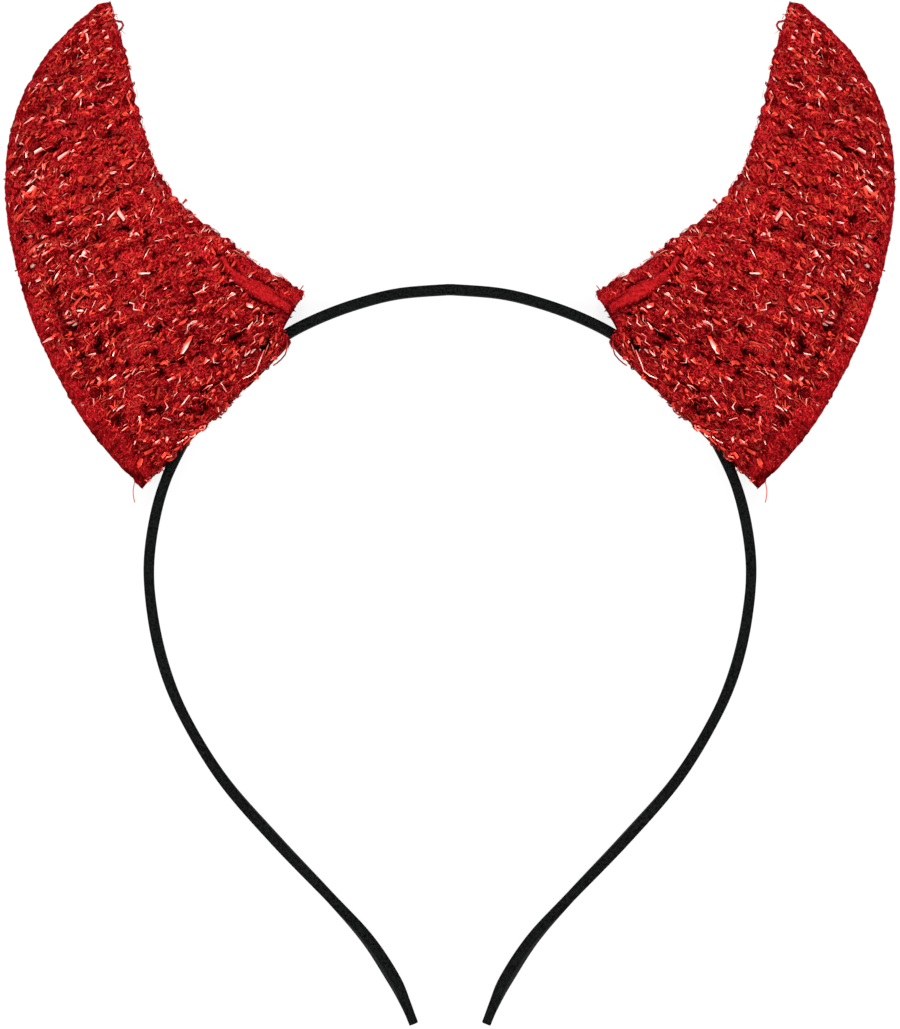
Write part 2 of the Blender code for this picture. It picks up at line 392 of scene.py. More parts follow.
def shoulder_rise(distance, reach):
    """A rounded climb from 0 at an edge to 1 at the reach."""
    off = 1 - np.clip(distance / reach, 0, 1)
    return (1 - off**SHOULDER_POWER) ** (1 / SHOULDER_POWER)


def fold_fade(place):
    """How much of the long fold there is at a place along the horn."""
    fade_in = eased((place - FOLD_FROM_ROW) / FOLD_FADE_IN_ROWS)
    return fade_in * eased((LAST_HORN_ROW - place) / FOLD_FADE_OUT_ROWS)


def fold_depth(place, distance):
    """The depth of the long fold at a place along the horn and a distance in from its outer edge."""
    return FOLD_DEPTH * hump(distance, FOLD_INSET, FOLD_WIDTH) * fold_fade(place)


def row_width(row):
    """How wide a horn is at rows of its table."""
    return np.hypot(row.inner_x - row.outer_x, row.inner_y - row.outer_y)


def panel_points(place, across, facing, inset):
    """Points of a horn panel. Facing is 1 for the front and -1 for the back. Inset is 0 on the outside and
    the cloth's thickness on the inside."""
    start = SOLID_TIP_ROWS * inset / CLOTH
    place = start + place * (LAST_HORN_ROW - start) / LAST_HORN_ROW
    row = rows_at(HORN_ROWS, place)
    width = row_width(row)
    mouth = np.clip(row.mouth, 0, 1)
    rim = np.minimum(inset / width, LARGEST_RIM_SHARE)
    spot = rim + across * (1 - rim - rim * (1 - mouth))
    shoulder = row.shoulder if facing > 0 else np.minimum(row.shoulder, BACK_SHOULDER)
    inner_rise = shoulder_rise(1 - across, shoulder)
    rise = shoulder_rise(across, shoulder) * (inner_rise + (1 - inner_rise) * mouth)
    rise = rise * shoulder_rise(place - start, TIP_ROUNDING_ROWS)
    if facing > 0:
        bulge = np.maximum(row.top - row.seam - SEAM_GAP / 2 - inset, 0) * rise
        bulge = np.maximum(bulge - fold_depth(place, across * width), 0)
    else:
        bulge = np.maximum(row.seam - SEAM_GAP / 2 - inset, 0) * rise
    x = row.outer_x + (row.inner_x - row.outer_x) * spot
    y = row.outer_y + (row.inner_y - row.outer_y) * spot
    return np.stack([x, y, row.seam + facing * (SEAM_GAP / 2 + bulge)], -1)


def surface_normals(points, facing):
    """The directions that point out of a grid of points."""
    along = np.gradient(points, axis=0)
    across = np.gradient(points, axis=1)
    normals = unit(np.cross(along, across))
    middle = normals[len(normals) // 2, normals.shape[1] // 2, 2]
    return normals * np.sign(middle * facing)


Knit = namedtuple("Knit", "height pit pile shine tone")


def gap_depths(x, y, place, reach, near_groove, seed):
    """How deep in a gap between threads each place is. There are more gaps along the grooves and towards
    the base, and fewer towards the tip and the inner edge."""
    along, over = x * -0.80 + y * 0.60, x * 0.60 + y * 0.80
    gaps = soft_noise(along / GAP_STRETCH, over, GAP_SIZE, seed + 3) + 0.4 * near_groove
    gaps = gaps + 0.12 * soft_noise(x, y, 9.0, seed + 9) - 0.12 * (1 - eased(place / 3))
    gaps = gaps + 0.12 * eased((place - 7.5) / 2.5) - 0.36 * hump(reach, 0, 8.0)
    return eased((gaps - GAP_FROM) / GAP_SOFTNESS) * (0.2 + 0.8 * eased(reach / 3.0))


def cloth_tone(x, y, place, distance, reach, plain, seed):
    """How light the cloth is: lighter on the plain border, a painted highlight beside the long fold and
    painted shade in the fold, darker along a row near the base, and painted shade in the inner corner by the
    base."""
    from_base = (LAST_HORN_ROW - place) * base_reach(distance / (distance + reach))
    tone = CLOTH_TONE + 0.08 * soft_noise(x, y, 7.0, seed + 10)
    # Painted shade in the fold, and a painted highlight on the cloth beside it
    tone = tone - 0.34 * hump(distance, PAINTED_FOLD_SHADE_INSET, 1.5) * (0.4 + 0.6 * fold_fade(place))
    tone = tone + 0.46 * hump(distance, PAINTED_HIGHLIGHT_INSET, 0.55) * fold_fade(place)
    tone = tone + (0.13 + 0.08 * eased((place - 7) / 2)) * plain * eased(distance / 1.5)
    tone = tone - 0.16 * hump(from_base, DARK_ROW_FROM_BASE, 1.1)
    # Painted shade in the inner corner by the base
    tone = tone - 0.22 * hump(reach, 0, 5.0) * eased((place - 10.3) / 0.4)
    return tone + 0.06 * hump(reach, 0, 4.0)


def knit_pattern(x, y, place, distance, reach, facing):
    """The knitted cloth at places on a horn, a distance in from its outer edge and a reach in from its inner
    edge: how high it stands, how much painted shade its grooves and gaps get, how much pile and tinsel it
    carries, and how light it is."""
    seed = 10 if facing > 0 else 40
    slope = ROW_SLOPE + (ROW_SLOPE_AT_TIP - ROW_SLOPE) * eased((y - 60) / 40)
    phase = (x * np.sin(slope) + y * np.cos(slope)) / ROW_PITCH
    phase = phase + 0.22 * soft_noise(x, y, 7.0, seed) + 0.14 * soft_noise(x, y, 2.0, seed + 1)
    off_groove = np.abs(phase - np.round(phase)) * ROW_PITCH
    groove = hump(off_groove, 0, GROOVE_WIDTH)
    crest = 2 * off_groove / ROW_PITCH
    gaps = gap_depths(x, y, place, reach, groove, seed)
    groove = groove * eased(0.35 + 1.3 * soft_noise(x, y, 2.4, seed + 2))
    # Painted shade in the grooves and gaps
    pit = np.clip(GROOVE_PAINTED_SHADE * groove + gaps, 0, 1)
    # Less painted shade in the gaps under the painted highlight beside the fold
    pit = pit * (1 - 0.6 * hump(distance, PAINTED_HIGHLIGHT_INSET, 0.8) * fold_fade(place))
    height = lumpy(x, y, CLOTH_LUMPS, seed) - GROOVE_DEPTH * groove - GAP_DEPTH * gaps
    height = height * (0.3 + 0.7 * eased(np.minimum(distance, reach) / 3.5))
    border = BORDER_WIDTH + (BORDER_WIDTH_AT_BASE - BORDER_WIDTH) * eased((place - 7.5) / 3.0)
    border = border + 0.7 * soft_noise(x, y, 2.2, seed + 6)
    plain = 1 - eased((distance - border) / BORDER_BLEND + 0.5)
    pile = 1 - (1 - BORDER_SHARE_OF_PILE) * plain
    shine = (0.14 + crest**2.3) * (1 - 0.7 * pit) * (0.15 + 0.85 * eased((reach - 0.3) / 1.4))
    shine = shine * eased((distance - 1.1) / 0.9) * (1 - 0.7 * plain)
    shine = shine * (1.1 - 0.3 * eased((place - 6.5) / 3.5))
    tone = cloth_tone(x, y, place, distance, reach, plain, seed)
    if facing > 0:
        strip = distance_to_line(x, y, TURNED_STRIP) + 0.2 * soft_noise(x, y, 1.6, seed + 7)
        on_strip = eased(0.5 - strip / 0.35)
        on_ridge = eased(0.5 - distance_to_line(x, y, RIDGE_BY_STRIP) / 0.3)
        pile = pile * (1 - on_strip) * (1 - 0.7 * on_ridge)
        height = height * pile + 0.30 * on_strip + 0.2 * on_ridge
        height = height - 0.5 * hump(strip, 0.5, 0.4) * pile
        streaks = soft_noise((0.79 * x + 0.61 * y) / 6, 0.79 * y - 0.61 * x, 0.35, seed + 12)
        tone = tone + (0.18 + 0.10 * streaks) * on_strip + 0.26 * on_ridge
        at_corner = hump(np.hypot(x - SMOOTH_CORNER_X, y - SMOOTH_CORNER_Y), 0, SMOOTH_CORNER_SIZE)
        tone = tone + 0.14 * at_corner
        shine = shine * (1 - at_corner) * eased((strip - 0.2) / 0.9)
        pile = pile * (1 - 0.5 * at_corner)
        # Painted shade in the groove beside the turned strip
        pit = np.clip(pit + 0.6 * hump(strip, 0.55, 0.35), 0, 1)
    else:
        height = height * pile
    height = height + 0.07 * soft_noise(x, y, 0.8, seed + 8)
    # Darker towards the base, and a painted shade along the base rim
    tone = tone * (1 - 0.18 * eased((place - 6.5) / 3.5) - 0.30 * eased((place - 10.9) / 0.1))
    return Knit(height, pit * (0.4 + 0.6 * pile), pile, shine * pile, np.clip(tone, 0, 1))


def base_reach(across):
    """How many millimetres the last row of the horn's table spans, across from the outer edge."""
    return LAST_ROW_REACH_OUTER + (LAST_ROW_REACH_INNER - LAST_ROW_REACH_OUTER) * across


def notch_depth(place, across):
    """How far the notch beside the band moves the inner edge in."""
    return np.interp(place, *np.array(NOTCH).T) * eased((across - 0.80) / 0.20)


Panel = namedtuple("Panel", "points normals place across knit")


def shape_panel(facing):
    """The finely shaped outside of a horn's front or back cloth, as a grid of points."""
    steps_along, steps_across = (300, 116) if facing > 0 else (200, 76)
    s = np.linspace(0, 1, steps_along + 1)[:, None]
    k = np.linspace(0, 1, steps_across + 1)[None, :]
    crowding = 0.65
    across = k * (1 - crowding) + crowding * (0.5 - 0.5 * np.cos(math.pi * k))
    place, across = np.broadcast_arrays(LAST_HORN_ROW * s**TIP_CROWDING, across)
    outward = np.interp(across, *np.array(BASE_EDGE).T) + lumpy(across * 40, across * 0, BASE_LUMPS)
    place = place + outward / base_reach(across) * eased((place - BASE_FROM_ROW) / 0.8)
    points = panel_points(place, across, facing, 0.0)
    row = rows_at(HORN_ROWS, place)
    width = row_width(row)
    x, y = points[..., 0], points[..., 1]
    knit = knit_pattern(x, y, place, across * width, (1 - across) * width, facing)
    normals = surface_normals(points, facing)
    tip = eased(place / 0.5)
    height = knit.height * tip
    patchy = eased(0.5 + soft_noise(place * 9, place * 0, 2.6, 12))
    rough = 0.30 * patchy * soft_noise(place * 9, place * 0, 0.7, 9) * eased((across - 0.9) / 0.1)
    rough = rough + 0.08 * patchy * soft_noise(place * 9, place * 0, 0.4, 11) * eased((0.08 - across) / 0.08)
    points = points + normals * (height + rough * tip)[..., None]
    points[..., 0] += notch_depth(place, across)
    points[..., 1] += TIP_STRETCH * (1 - tip)
    if facing < 0:
        points[..., 2] = np.maximum(points[..., 2], PILE_UNDER_BACK)
    return Panel(points, surface_normals(points, facing), place, across, knit)


def make_cloth(name, side, facing, panel, material):
    """One cloth wall of a horn: its shaped outside, and a plain inside that the mouth shows."""
    inside_steps = 14
    share = 0.5 - 0.5 * np.cos(math.pi * np.linspace(1, 0, inside_steps + 1))[None, :]
    place, share = np.broadcast_arrays(panel.place[:, :1], share)
    place = place - 0.06 * eased((place - BASE_FROM_ROW) / 0.8)
    inside = panel_points(place, share, facing, CLOTH)
    inside[..., 0] += notch_depth(place, share)
    rings = np.concatenate([panel.points, inside], axis=1)
    outside_count, inside_count = panel.points.shape[1], inside.shape[1]
    around = [np.linspace(0, 0.88, outside_count), np.linspace(0.885, 0.99, inside_count)]
    faces, spots = skin_rings(rings, np.concatenate(around))
    bare = np.zeros(inside.shape[:2])
    inside_values = {"pit": bare + 0.3, "pile": bare, "tone": bare + 0.8}
    values = {
        name: np.concatenate([getattr(panel.knit, name), numbers], axis=1)
        for name, numbers in inside_values.items()
    }
    return make_piece(name, side, rings.reshape(-1, 3), faces, material, spots, values)


# Pile and tinsel

Roots = namedtuple("Roots", "points normals pit pile tone")
Strips = namedtuple("Strips", "paths flats widths ridges shades tones")


def scatter_roots(panel, count, weight, rng):
    """Random places on a panel, as many on each patch as its area and weight ask for."""
    grid = panel.points
    sides = np.cross(grid[1:, :-1] - grid[:-1, :-1], grid[:-1, 1:] - grid[:-1, :-1])
    share = np.linalg.norm(sides, axis=-1) * weight[:-1, :-1]
    cells = rng.choice(share.size, count, p=share.ravel() / share.sum())
    line, column = np.divmod(cells, share.shape[1])
    down, over = rng.random((2, count))

    def between(values):
        low = values[line, column], values[line, column + 1]
        high = values[line + 1, column], values[line + 1, column + 1]
        if values.ndim == 3:
            a, b = over[:, None], down[:, None]
        else:
            a, b = over, down
        return (low[0] * (1 - a) + low[1] * a) * (1 - b) + (high[0] * (1 - a) + high[1] * a) * b

    knit = [between(values) for values in (panel.knit.pit, panel.knit.pile, panel.knit.tone)]
    return Roots(between(grid), unit(between(panel.normals)), *knit)


def map_places(shade, tone):
    """Where shades and tones lie on the flat map of small pieces whose colour follows these alone."""
    values = np.stack([np.clip(shade, 0, 1), np.clip(tone, 0, 1)], -1)
    return MAP_MARGIN + (1 - 2 * MAP_MARGIN) * values


def make_pile(name, side, roots, lean, lengths, widths, shade, tone, material):
    """Short tapered fibres that stand on a panel and lean the given way."""
    count = len(lengths)
    direction = unit(lean)
    a = unit(np.cross(direction, roots.normals) + 1e-6)
    b = np.cross(direction, a)
    turn = np.array([0.0, 2.1, 4.2])
    ring = a[:, None] * np.cos(turn)[:, None] + 0.6 * b[:, None] * np.sin(turn)[:, None]
    base = roots.points - roots.normals * 0.05
    corners = base[:, None] + ring * widths[:, None, None] / 2
    tips = base + direction * lengths[:, None]
    points = np.concatenate([corners, tips[:, None]], axis=1)
    points[..., 2] = np.maximum(points[..., 2], LOWEST_FIBRE_POINTS)
    start = np.arange(count)[:, None] * 4
    wanted = [(0, 2, 1), (0, 1, 3), (1, 2, 3), (2, 0, 3)]
    faces = (start[:, None] + np.array(wanted)[None]).reshape(-1, 3)
    spread = np.array([(-2, -2), (2, -2), (0.5, 0), (0, 2.5)]) * MAP_DOT
    spots = (map_places(shade, tone)[:, None] + spread)[:, np.array(wanted)]
    spots = [spots.reshape(-1, 3, 2)]
    values = {"shade": np.repeat(shade, 4), "tone": np.repeat(tone, 4)}
    return make_piece(name, side, points.reshape(-1, 3), [faces], material, spots, values, smooth=False)


def make_strips(name, side, strips, material):
    """Thin strips of foil, each with a low ridge along its top. Each has its middle line, the direction
    across it at each step, its width there, how far across the ridge is, and its shades and tone."""
    count, steps = strips.paths.shape[:2]
    along = unit(np.gradient(strips.paths, axis=1))
    flats = unit(strips.flats)
    up = unit(np.cross(along, flats))
    half = flats * strips.widths[..., None] / 2
    ridge = strips.paths + half * strips.ridges[:, None, None]
    ridge = ridge + up * np.minimum(0.12, 0.16 * strips.widths + 0.02)[..., None]
    points = np.stack([strips.paths - half, strips.paths + half, ridge], axis=2)
    points[..., 2] = np.maximum(points[..., 2], LOWEST_FOIL_POINTS)
    corner = np.arange(count * steps * 3).reshape(count, steps, 3)
    after = np.roll(corner, -1, axis=2)
    quads = np.stack([corner[:, :-1], after[:, :-1], after[:, 1:], corner[:, 1:]], -1).reshape(-1, 4)
    faces = [quads, corner[:, 0, ::-1], corner[:, -1]]
    shade = np.clip(strips.shades, 0, 1).ravel()
    tone = np.clip(np.repeat(strips.tones, steps * 3), 0, 1)
    place = map_places(shade, tone)
    quad_spread = np.array([(-2, -3), (2, -3), (2, 3), (-2, 3)]) * MAP_DOT
    end_spread = np.array([(-3, -2), (3, -2), (0, 3)]) * MAP_DOT
    spots = [place[quads] + quad_spread]
    spots += [place[group[:, :1]] + end_spread for group in faces[1:]]
    values = {"shade": shade, "tone": tone}
    return make_piece(name, side, points.reshape(-1, 3), faces, material, spots, values, smooth=False)


def turned(vectors, axes, angles):
    """The vectors, turned about the axes."""
    c, s = np.cos(angles)[..., None], np.sin(angles)[..., None]
    dot = np.sum(axes * vectors, -1, keepdims=True)
    return vectors * c + np.cross(axes, vectors) * s + axes * dot * (1 - c)


def surface_direction(normals, angles):
    """Directions along the surface that point at the given angles from +X, seen from the front."""
    flat = np.stack([np.cos(angles), np.sin(angles), np.zeros_like(angles)], -1)
    return unit(flat - normals * np.sum(flat * normals, -1, keepdims=True))


def pile_of(name, side, facing, panel, count, material):
    """The pile of a horn's cloth: soft fibres, few in the gaps and short on the plain border, darkened by
    painted shade in the grooves and gaps.
    """
    rng = np.random.default_rng(100 + facing)
    roots = scatter_roots(panel, count, (1 - 0.8 * panel.knit.pit) * (0.4 + 0.6 * panel.knit.pile), rng)
    x, y = roots.points[:, 0], roots.points[:, 1]
    flow = PILE_HEADING + rng.normal(0, 0.9, count) + 0.8 * soft_noise(x, y, 2.0, 61)
    flow = flow + math.pi * (rng.random(count) < 0.4)
    on_top = np.clip(np.abs(roots.normals[:, 2]), 0.2, 1)
    rise = rng.uniform(0.10, 0.55, count) * (0.4 + 0.6 * on_top)
    lean = surface_direction(roots.normals, flow) + roots.normals * rise[:, None]
    lengths = rng.uniform(0.50, 1.05, count) * (0.5 + 0.5 * roots.pile) * (0.45 + 0.55 * on_top)
    widths = rng.uniform(0.28, 0.48, count) * (0.85 + 0.15 * roots.pile)
    clump = 0.5 * soft_noise(x, y, 0.6, 62) + 0.5 * soft_noise(x, y, 1.9, 63)
    varied = 0.20 * clump + rng.normal(0, 0.27, count)
    # Painted shade: darker in the grooves and gaps, and the cloth's tone with its painted shade and highlight
    shade = 0.45 + varied * (0.6 + 0.4 * roots.pile) - 0.2 * roots.pit
    tone = (1 - 0.75 * roots.pit) * roots.tone
    return make_pile(name, side, roots, lean, lengths, widths, shade, tone, material)


def tinsel_of(name, side, facing, panel, count, tinsel, pile):
    """The tinsel of a horn's cloth: slim or broad strips of foil, cut aslant, many of them folded once. Some
    carry a painted highlight along one edge, and a dark strip beside that edge paints its shadow on the
    cloth."""
    rng = np.random.default_rng(200 + facing)
    roots = scatter_roots(panel, count, panel.knit.shine, rng)
    heading = TINSEL_HEADING + rng.normal(0, 0.28, count)
    heading = np.where(rng.random(count) < 0.2, rng.uniform(0, math.pi, count), heading)
    forward = surface_direction(roots.normals, heading)
    sideways = np.cross(roots.normals, forward)
    kind = rng.random(count)
    broad, slim = kind < BROAD_SHARE, kind > 1 - SLIM_SHARE
    often = 1 + 0.45 * eased((roots.points[:, 1] - 30) / 20)
    # Which strips get a painted highlight: more towards the tips, and more of the broad ones
    painted_flash = rng.random(count) < often * np.where(broad, 0.22, np.where(slim, 0.05, 0.13))
    length = np.clip(np.exp(rng.normal(0.08, 0.34, count)), 0.5, 2.2)
    length = length * np.where(broad, 1.4, 1.0) * np.where(painted_flash, 1.3, 1.0)
    width = np.where(broad, rng.uniform(0.65, 1.10, count), rng.uniform(0.32, 0.66, count))
    width = np.where(slim, rng.uniform(0.18, 0.30, count), width) * np.where(painted_flash, 0.95, 1.0)
    fold_at = rng.uniform(-0.25, 0.25, count)
    bend = rng.choice([-1, 1], count) * rng.uniform(0.5, 1.4, count) * (rng.random(count) < 0.35)
    onward = turned(forward, roots.normals, bend)
    pitch = rng.normal(0, 0.20, count) * length
    drop = rng.uniform(0.0, 0.20, (2, count))
    lifts = np.stack([-pitch / 2 - drop[0], pitch / 2 - drop[1]])[..., None] * roots.normals
    first_end = lifts[0] - forward * ((0.5 + fold_at) * length)[:, None]
    second_end = lifts[1] + onward * ((0.5 - fold_at) * length)[:, None]
    middle = roots.points + roots.normals * rng.uniform(0.24, 0.62, count)[:, None]
    paths = np.stack([middle + first_end, middle, middle + second_end], axis=1)
    roll = rng.normal(0, 0.36, count)
    flats = [turned(sideways, forward, roll + rng.normal(0, 0.20, count)) for end in range(3)]
    slant = rng.normal(0, 0.75, (3, count, 1))
    flats = np.stack([flat + forward * aslant for flat, aslant in zip(flats, slant)], axis=1)
    narrow = np.where(rng.random((2, count)) < 0.25, 0.2, rng.uniform(0.65, 1.1, (2, count)))
    widths = width[:, None] * np.stack([narrow[0], np.ones(count), narrow[1]], axis=1)
    ground = np.clip(rng.normal(0.22, 0.08, count), 0.05, 0.42)
    ground = np.where(rng.random(count) < 0.15, rng.uniform(0.38, 0.56, count), ground)
    ground = np.where(painted_flash, rng.uniform(0.44, 0.60, count), ground)
    # Painted highlight: the ridge pale at the middle and one end, that end's edge part way, the other end
    # darker
    peak = np.where(painted_flash, rng.uniform(0.78, 1.0, count), ground + rng.uniform(0, 0.15, count))
    edge = np.where(rng.random(count) < 0.7, 0, 1)
    end = rng.choice([0, 2], count)
    shades = np.broadcast_to(ground[:, None, None], (count, 3, 3)).copy()
    each = np.arange(count)
    shades[each, 1, 2] = peak
    shades[each, end, 2] = peak
    shades[each, end, edge] = 0.4 * peak + 0.6 * ground
    shades[each, 2 - end] *= 0.85
    # Painted shade on the foil in the grooves and gaps
    tones = 1 - 0.4 * roots.pit
    ridges = rng.uniform(-0.5, 0.5, count)
    along_edge = painted_flash & (np.abs(ridges) > 0.15)
    ridges = np.where(along_edge, np.where(edge == 0, -1, 1) * (0.35 + np.abs(ridges)), ridges)
    foil = Strips(paths, flats, widths, ridges, shades, tones)
    # Dark strips beside the highlighted strips, and beside half of the broad ones, paint a shadow on the
    # cloth
    painted_shadow = painted_flash | (broad & (rng.random(count) < 0.5))
    beside = sideways * ((width / 2 + 0.08) * np.where(edge == 0, -1, 1))[:, None] - roots.normals * 0.10
    painted_shadow_widths = np.broadcast_to(rng.uniform(0.20, 0.34, (count, 1)), (count, 3))
    beside = (paths + beside[:, None])[painted_shadow]
    level, painted_shadow_shades = np.zeros(painted_shadow.sum()), np.zeros((painted_shadow.sum(), 3, 3))
    dark = Strips(beside, flats[painted_shadow], painted_shadow_widths[painted_shadow], level, painted_shadow_shades, level + 0.5)
    return [
        make_strips(f"{name}_tinsel", side, foil, tinsel),
        make_strips(f"{name}_painted_shadow_strips", side, dark, pile),
    ]


def threads_of(name, side, facing, panel, count, material):
    """Longer thin threads of foil that zigzag over the rows near the base of a horn."""
    rng = np.random.default_rng(300 + facing)
    steps = 4
    weight = panel.knit.shine * (0.05 + eased((panel.place - 7.0) / 2.0))
    weight = weight * eased((panel.across - 0.06) / 0.06) * eased((0.94 - panel.across) / 0.06)
    weight = weight * eased((LAST_HORN_ROW - 0.3 - panel.place) / 0.3)
    roots = scatter_roots(panel, count, weight, rng)
    ways = np.radians(rng.choice([140, 92, 15], (steps, count), p=[0.45, 0.33, 0.22]))
    heading = ways + rng.normal(0, 0.2, (steps, count))
    place = roots.points
    path = [place]
    for step in range(1, steps):
        ahead = surface_direction(roots.normals, heading[step])
        place = place + ahead * rng.uniform(0.5, 1.4, count)[:, None]
        path.append(place + roots.normals * rng.normal(0, 0.12, count)[:, None])
    paths = np.stack(path, axis=1)
    middle = np.mean(paths - roots.points[:, None], axis=1, keepdims=True)
    paths = paths - middle + roots.normals[:, None] * 0.65
    forward = unit(paths[:, -1] - paths[:, 0])
    sideways = np.cross(roots.normals, forward)
    flats = [turned(sideways, forward, rng.normal(0, 0.5, count)) for step in range(steps)]
    widths = rng.uniform(0.15, 0.24, (count, 1)) * np.ones((1, steps))
    # Shades past about half take the foil towards its pale painted highlight
    shades = rng.choice([0.25, 0.4, 0.55, 0.7, 0.9], (count, steps, 1)) * np.ones((1, 1, 3))
    threads = Strips(paths, np.stack(flats, axis=1), widths, np.zeros(count), shades, np.ones(count))
    return make_strips(name, side, threads, material)


def strands_of(name, side, panel, material):
    """Loose strands and tufts along a horn's edges, and small loops along its frayed base."""
    rng = np.random.default_rng(400)
    steps = 6
    surface = panel.points.reshape(-1, 3)
    paths = []
    for strand in EDGE_STRANDS:
        points = np.array(strand.points, float)
        share = np.linspace(0, len(points) - 1, steps)
        smooth = rows_at([StrandPoint(*point) for point in points], share)
        away = [np.hypot(surface[:, 0] - x, surface[:, 1] - y) for x, y in zip(smooth.x, smooth.y)]
        nearest = np.argmin(away, axis=1)
        paths.append(np.stack([smooth.x, smooth.y, surface[nearest, 2] + smooth.lift], -1))
    widths = [strand.width for strand in EDGE_STRANDS]
    shades = [strand.shade for strand in EDGE_STRANDS]
    rim = panel.points[-1]
    outward = np.array([-0.69, -0.72, 0.0])
    for loop in range(BASE_LOOPS):
        start, span = rng.uniform(0.03, 0.93), rng.uniform(0.015, 0.055)
        share = np.linspace(start, start + span, steps)
        spots = np.stack([np.interp(share, panel.across[-1], rim[:, axis]) for axis in range(3)], -1)
        swell = np.sin(np.linspace(0, math.pi, steps)) * rng.uniform(0.15, 0.75)
        spots = spots + outward * swell[:, None] + [0, 0, rng.uniform(-0.6, 0.4)]
        paths.append(spots + rng.normal(0, 0.06, spots.shape))
        widths.append(rng.uniform(0.18, 0.36))
        shades.append(rng.choice(BASE_LOOP_SHADES))
    paths = np.stack(paths)
    count = len(paths)
    flats = np.cross(unit(np.gradient(paths, axis=1)), [0.25, 0.1, 1.0])
    widths = np.array(widths)[:, None] * np.ones((1, steps))
    shades = np.array(shades)[:, None, None] + rng.normal(0, 0.10, (count, steps, 3))
    strands = Strips(paths, flats, widths, np.zeros(count), shades, np.ones(count))
    return make_strips(name, side, strands, material)


# Band


def band_rings():
    """Rings of the band's surface, from one tip to the other."""
    steps_per_row, steps_per_edge = 12, 5
    steps = (len(BAND_ROWS) - 1) * steps_per_row
    half = np.arange(1, steps + 1) / steps_per_row
    place = np.concatenate([half[::-1], half])
    side = np.concatenate([-np.ones(steps), np.ones(steps)])
    row = rows_at(BAND_ROWS, place)
    before, ahead = rows_at(BAND_ROWS, place - 0.01), rows_at(BAND_ROWS, place + 0.01)
    length = np.hypot(ahead.x - before.x, ahead.y - before.y)
    out_x, out_y = (before.y - ahead.y) / length, (ahead.x - before.x) / length
    twist = np.radians(row.twist)
    radius = BAND_EDGE_RADIUS
    half_height = radius + (row.depth / 2 - radius) * np.cos(twist)
    half_height = half_height + (row.thickness / 2 - radius) * np.sin(twist)
    lift = BAND_LIFT * eased((row.y - BAND_TIP_Y) / (BAND_LEVEL_FROM_Y - BAND_TIP_Y))
    points = []
    for quarter, (across, along) in enumerate(((1, 1), (-1, 1), (-1, -1), (1, -1))):
        for step in range(steps_per_edge + 1):
            angle = math.radians(90 * (quarter + step / steps_per_edge))
            wide = across * (row.thickness / 2 - radius) + radius * math.cos(angle)
            deep = along * (row.depth / 2 - radius) + radius * math.sin(angle)
            outwards = wide * np.cos(twist) - deep * np.sin(twist)
            up = wide * np.sin(twist) + deep * np.cos(twist)
            x = side * (row.x + outwards * out_x)
            points.append(np.stack([x, row.y + outwards * out_y, lift + half_height + up], -1))
    return np.stack(points, axis=1)


def make_band(material):
    """The spring band in its satin cover."""
    rings = band_rings()
    around = np.arange(rings.shape[1]) / rings.shape[1]
    faces, spots = skin_rings(rings, around, strips=8)
    band = make_piece("band_satin", 1, rings.reshape(-1, 3), faces, material, spots)
    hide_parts("band")
    return band


# Materials


def new_material(name):
    """A material with its nodes, and its shader."""
    material = bpy.data.materials.new(name)
    material.use_nodes = True
    tree = material.node_tree
    return material, tree, tree.nodes["Principled BSDF"]


def feed(tree, node, inputs):
    """Sets a node's inputs: a socket is linked, and a value is set."""
    for key, value in inputs.items():
        if isinstance(value, bpy.types.NodeSocket):
            tree.links.new(value, node.inputs[key])
        else:
            node.inputs[key].default_value = value


def new_group(name, inputs, output):
    """An empty node group with its inputs and its output, each by name and kind of socket."""
    tree = bpy.data.node_groups.new(name, "ShaderNodeTree")
    for label, kind in inputs.items():
        tree.interface.new_socket(label, in_out="INPUT", socket_type=kind)
    label, kind = output
    tree.interface.new_socket(label, in_out="OUTPUT", socket_type=kind)
    return tree, tree.nodes.new("NodeGroupInput").outputs, tree.nodes.new("NodeGroupOutput").inputs


def computed(tree, operation, first, second):
    """The result of a sum with two numbers."""
    node = tree.nodes.new("ShaderNodeMath")
    node.operation = operation
    feed(tree, node, {0: first, 1: second})
    return node.outputs[0]


def ranged(tree, value, limits):
    """A number from 0 to 1 where a value lies between its limits."""
    node = tree.nodes.new("ShaderNodeMapRange")
    feed(tree, node, {"Value": value, **limits})
    return node.outputs["Result"]


def mixed(tree, share, first, second, blend="MIX"):
    """Two colours mixed by a share, or the first one darkened by the second."""
    node = tree.nodes.new("ShaderNodeMix")
    node.data_type = "RGBA"
    node.blend_type = blend
    feed(tree, node, {0: share, 6: first, 7: second})
    return node.outputs[2]


def mottle_group():
    """Soft spots of two sizes, for the cloth's colour and its fine bumps."""
    sizes = {"Size": "NodeSocketFloat", "Contrast": "NodeSocketFloat"}
    tree, inputs, outputs = new_group("fibre_mottle", sizes, ("Spots", "NodeSocketFloat"))
    place = tree.nodes.new("ShaderNodeTexCoord").outputs["Object"]
    scale = computed(tree, "DIVIDE", 1000.0, inputs["Size"])
    noise = tree.nodes.new("ShaderNodeTexNoise")
    feed(tree, noise, {"Vector": place, "Scale": scale, "Detail": 3.0, "Roughness": 0.65})
    half = computed(tree, "DIVIDE", 0.5, inputs["Contrast"])
    low = computed(tree, "SUBTRACT", 0.5, half)
    high = computed(tree, "ADD", 0.5, half)
    spots = ranged(tree, noise.outputs["Fac"], {"From Min": low, "From Max": high})
    tree.links.new(spots, outputs["Spots"])
    return tree


